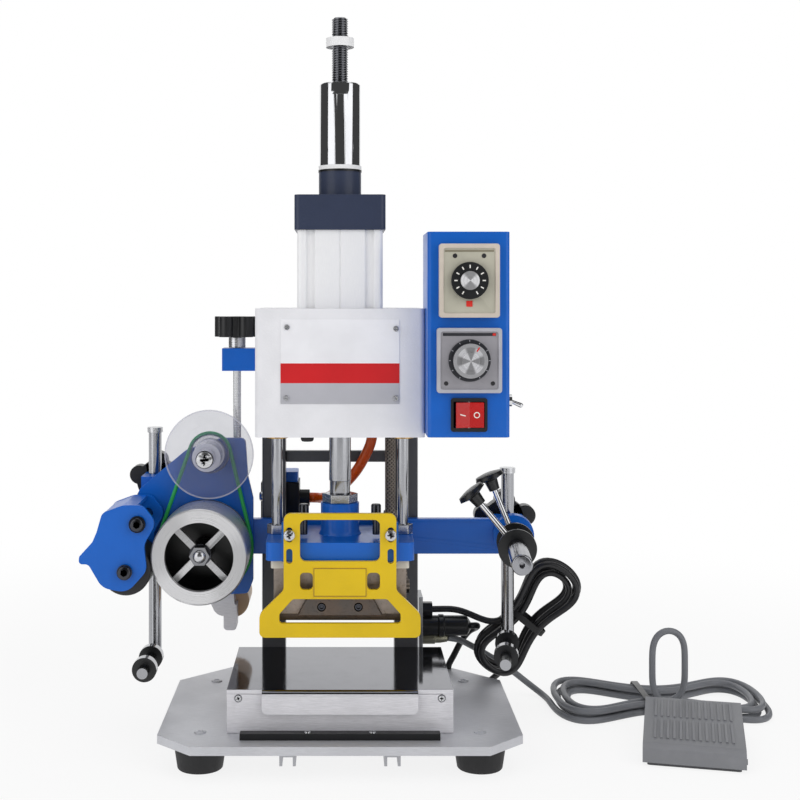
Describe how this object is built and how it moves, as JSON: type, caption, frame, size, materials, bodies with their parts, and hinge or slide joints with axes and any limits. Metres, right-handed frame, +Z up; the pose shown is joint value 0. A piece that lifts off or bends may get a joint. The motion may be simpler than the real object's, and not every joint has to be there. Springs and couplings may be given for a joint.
{
  "type": "hot foil stamping machine",
  "caption": "Bench-top pneumatic stamping press: heated head on a guided ram with yellow finger guard, polished table, foil feed and take-up, control box and foot pedal on a cord.",
  "frame": {"origin": "floor level under the ram axis, at the centre of the foot bolt pattern", "axes": "+X to the operator's right, +Y to the back, +Z up along the ram"},
  "size_m": [0.524, 0.23, 0.5276],
  "materials": {
    "satin_aluminium": "satin",
    "foot_rubber": "matt",
    "black_strip": "satin",
    "table_grey": "fine ground",
    "polished_plate": "mirror polished",
    "post_steel": "satin dark grey",
    "housing_paint": "fine textured light grey",
    "guide_steel": "machined",
    "navy_paint": "navy paint on a casting",
    "barrel_aluminium": "anodised",
    "chrome_steel": "polished",
    "black_steel": "blackened thread",
    "bright_steel": "bright",
    "blue_paint": "gloss royal blue",
    "insulation_board": "pressed board",
    "heater_metal": "heat stained",
    "braid": "braided sleeve",
    "die_metal": "heat stained",
    "yellow_paint": "gloss yellow",
    "timer_plastic": "beige",
    "controller_plastic": "grey",
    "black_plastic": "black",
    "red_plastic": "red",
    "motor_can": "tan",
    "stud_steel": "dark",
    "belt_green": "green round belt",
    "hose_orange": "orange tube",
    "bracket_steel": "plated",
    "connector_metal": "plated",
    "pedal_plastic": "grey",
    "cord_grey": "grey sheath",
    "cord_black": "black sheath",
    "drum_aluminium": "turned",
    "reel_plastic": "translucent white",
    "roller_rubber": "matt",
    "spindle_steel": "turned"
  },
  "bodies": {
    "frame": {"base_plate": "satin_aluminium", "rubber_feet": "foot_rubber", "base_rails": "satin_aluminium", "front_strip": "black_strip", "table_block": "table_grey", "table_plate": "polished_plate", "support_posts": "post_steel", "housing": "housing_paint", "guide_plate": "guide_steel", "cylinder_caps": "navy_paint", "barrel": "barrel_aluminium", "stop_sleeve": "chrome_steel", "control_box": "blue_paint", "timer": "timer_plastic", "temp_controller": "controller_plastic", "switch_bezels": "black_plastic", "foil_bar": "blue_paint", "foil_plate": "blue_paint", "feed_motor": "motor_can", "foil_studs": "stud_steel", "drive_belt": "belt_green", "clamp_blocks": "blue_paint", "air_valve": "black_plastic", "air_hose": "hose_orange", "terminal_bracket": "bracket_steel", "heater_coupler": "black_plastic", "pedal_base": "pedal_plastic", "pedal_connector": "connector_metal", "pedal_cord_run": "cord_grey", "pedal_cord_hank": "cord_grey", "mains_cord_run": "cord_black", "mains_cord_hank": "cord_black", "mains_plug": "cord_black"},
    "ram": {"piston_rod": "chrome_steel", "stroke_screw": "black_steel", "ram_fasteners": "bright_steel", "crosshead": "blue_paint", "guide_rods": "chrome_steel", "insulation_plate": "insulation_board", "heater_block": "heater_metal", "heater_lead": "braid", "die_plate": "die_metal", "guard": "yellow_paint"},
    "feed_drum_body": {"feed_drum": "drum_aluminium"},
    "take_up_reel_body": {"take_up_reel": "reel_plastic"},
    "pinch_lever_body": {"pinch_lever": "blue_paint"},
    "pinch_roller_body": {"pinch_roller": "roller_rubber"},
    "timer_dial_body": {"timer_dial": "black_plastic"},
    "temp_knob_body": {"temp_knob": "chrome_steel"},
    "rocker_body": {"rocker": "red_plastic"},
    "toggle_lever_body": {"toggle_lever": "chrome_steel"},
    "height_screw_body": {"height_screw": "black_plastic"},
    "left_guide_body": {"left_guide": "chrome_steel"},
    "left_knob_body": {"left_knob": "black_plastic"},
    "right_guide_body": {"right_guide": "chrome_steel"},
    "right_knob_body": {"right_knob": "black_plastic"},
    "treadle_body": {"treadle": "pedal_plastic"},
    "foil_spindle_body": {"foil_spindle": "spindle_steel", "spindle_flanges": "black_plastic"}
  },
  "joints": [
    {"name": "ram_slide", "type": "slide", "parent": "frame", "child": "ram", "axis": [0, 0, -1], "range_m": [0, 0.0265]},
    {"name": "drum_spin", "type": "hinge", "parent": "frame", "child": "feed_drum_body", "pos_m": [-0.102, 0.009, 0.135], "axis": [0, 1, 0], "continuous": true},
    {"name": "reel_spin", "type": "hinge", "parent": "frame", "child": "take_up_reel_body", "pos_m": [-0.0983, 0.012, 0.205], "axis": [0, 1, 0], "continuous": true},
    {"name": "pinch_open", "type": "hinge", "parent": "frame", "child": "pinch_lever_body", "pos_m": [-0.1455, 0.0065, 0.16], "axis": [0, 1, 0], "range_deg": [0, 35]},
    {"name": "roller_spin", "type": "hinge", "parent": "pinch_lever_body", "child": "pinch_roller_body", "pos_m": [-0.1546, 0.0065, 0.1256], "axis": [0, 1, 0], "continuous": true},
    {"name": "spindle_spin", "type": "hinge", "parent": "frame", "child": "foil_spindle_body", "pos_m": [0.132, 0.036, 0.142], "axis": [0.0785, 0.9969, 0], "continuous": true},
    {"name": "timer_turn", "type": "hinge", "parent": "frame", "child": "timer_dial_body", "pos_m": [0.0875, -0.078, 0.3341], "axis": [0, 1, 0], "range_deg": [-150, 150]},
    {"name": "temperature_turn", "type": "hinge", "parent": "frame", "child": "temp_knob_body", "pos_m": [0.0875, -0.082, 0.2801], "axis": [0, 1, 0], "range_deg": [-150, 150]},
    {"name": "rocker_tip", "type": "hinge", "parent": "frame", "child": "rocker_body", "pos_m": [0.0875, -0.0745, 0.2431], "axis": [0, 0, 1], "range_deg": [-14, 0]},
    {"name": "toggle_tip", "type": "hinge", "parent": "frame", "child": "toggle_lever_body", "pos_m": [0.1175, -0.05, 0.2511], "axis": [0, 1, 0], "range_deg": [-44, 0]},
    {"name": "height_turn", "type": "hinge", "parent": "frame", "child": "height_screw_body", "pos_m": [-0.0784, 0.039, 0.27], "axis": [0, 0, 1], "continuous": true},
    {"name": "left_guide_slide", "type": "slide", "parent": "frame", "child": "left_guide_body", "axis": [0, 0, 1], "range_m": [-0.015, 0.025]},
    {"name": "left_knob_turn", "type": "hinge", "parent": "frame", "child": "left_knob_body", "pos_m": [-0.144, 0.075, 0.178], "axis": [0, 1, 0], "continuous": true},
    {"name": "right_guide_slide", "type": "slide", "parent": "frame", "child": "right_guide_body", "axis": [0, 0, 1], "range_m": [-0.02, 0.01]},
    {"name": "right_knob_turn", "type": "hinge", "parent": "frame", "child": "right_knob_body", "pos_m": [0.13, 0.072, 0.146], "axis": [0, 1, 0], "continuous": true},
    {"name": "treadle_press", "type": "hinge", "parent": "frame", "child": "treadle_body", "pos_m": [0.24442, -0.0583, 0.005], "axis": [0.9703, -0.2419, 0], "range_deg": [-4, 0], "stiffness_Nm_per_rad": 4, "springref_deg": 5.73}
  ],
  "couplings": [
    {"joint": "reel_spin", "follows": "drum_spin", "ratio": 2.2987},
    {"joint": "roller_spin", "follows": "drum_spin", "ratio": -1.9444}
  ]
}
